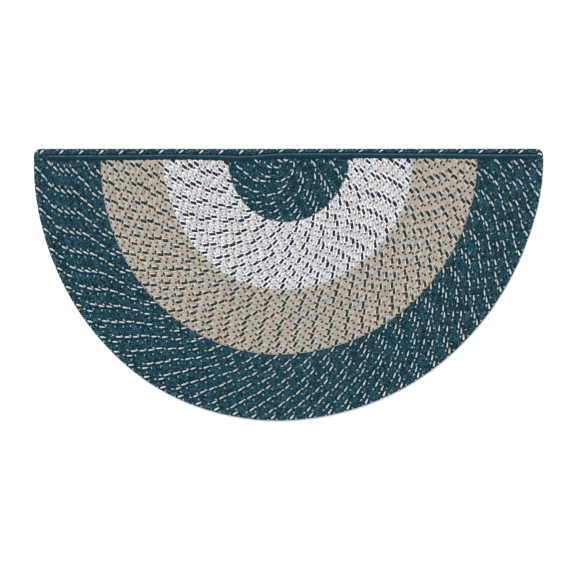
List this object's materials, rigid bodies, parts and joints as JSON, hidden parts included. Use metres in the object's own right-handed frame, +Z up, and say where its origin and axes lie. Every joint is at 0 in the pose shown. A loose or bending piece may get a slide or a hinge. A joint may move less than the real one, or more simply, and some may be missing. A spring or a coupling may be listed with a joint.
{
  "type": "braided rug",
  "caption": "Half-round braided rug: coiled rows of braid in teal, ivory and tan bands, a braided edge and a rolled binding along the straight side.",
  "frame": {"origin": "on the surface the rug lies on, under the middle of its bounding box", "axes": "+X along the straight edge, +Y towards the straight edge, +Z up"},
  "size_m": [1.219, 0.6498, 0.0115],
  "materials": {
    "core_braid": "matt braided yarn, dark teal with pale flecks",
    "ivory_braid": "matt braided yarn, ivory with navy and maroon flecks",
    "tan_braid": "matt braided yarn, tan with dark teal and maroon flecks",
    "rim_braid": "matt braided yarn, dark teal with pale flecks",
    "edge_braid": "matt braided yarn, dark teal with pale flecks",
    "binding": "smooth woven strip, teal, slight sheen"
  },
  "bodies": {
    "root": {"core_band": "core_braid", "ivory_band": "ivory_braid", "tan_band": "tan_braid", "rim_band": "rim_braid", "edge_braid": "edge_braid", "edge_binding": "binding"}
  },
  "joints": []
}
